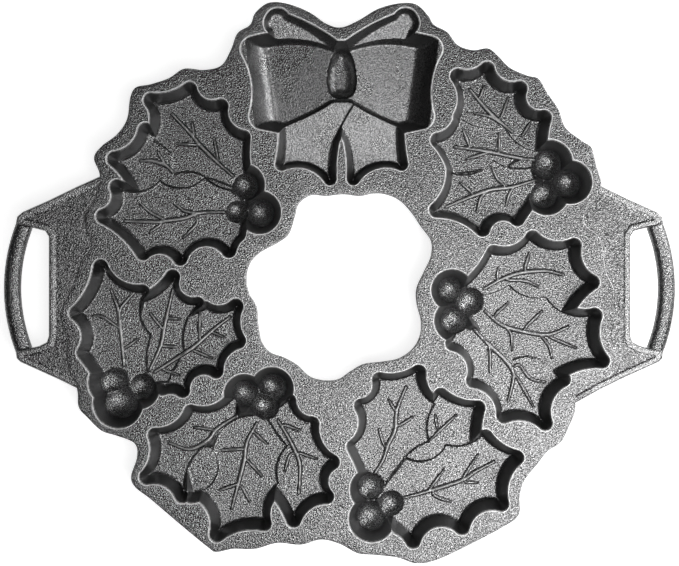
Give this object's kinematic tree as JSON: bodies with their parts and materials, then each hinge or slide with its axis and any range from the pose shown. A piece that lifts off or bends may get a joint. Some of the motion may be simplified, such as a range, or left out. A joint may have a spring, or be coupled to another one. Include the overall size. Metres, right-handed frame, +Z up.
{
  "type": "wreath cake pan",
  "caption": "Cast iron wreath pan with holly leaf and bow cups sunk in a flat wavy ring, an open centre and a loop handle on each side.",
  "frame": {"origin": "on the table plane, under the middle of the pan's bounding box", "axes": "+X from the left handle to the right handle, +Y from the ring's middle to the bow, +Z up out of the cups"},
  "size_m": [0.4, 0.3324, 0.028],
  "materials": {
    "seasoned_iron": "sand-cast grain on the ring and the cup floors, smoother walls, dark seasoned surface"
  },
  "bodies": {
    "root": {"wreath_web": "seasoned_iron", "bow_cup": "seasoned_iron", "holly_cup_upper_left": "seasoned_iron", "holly_cup_upper_right": "seasoned_iron", "holly_cup_right": "seasoned_iron", "holly_cup_lower_right": "seasoned_iron", "holly_cup_lower_left": "seasoned_iron", "holly_cup_left": "seasoned_iron", "left_handle": "seasoned_iron", "right_handle": "seasoned_iron"}
  },
  "joints": []
}
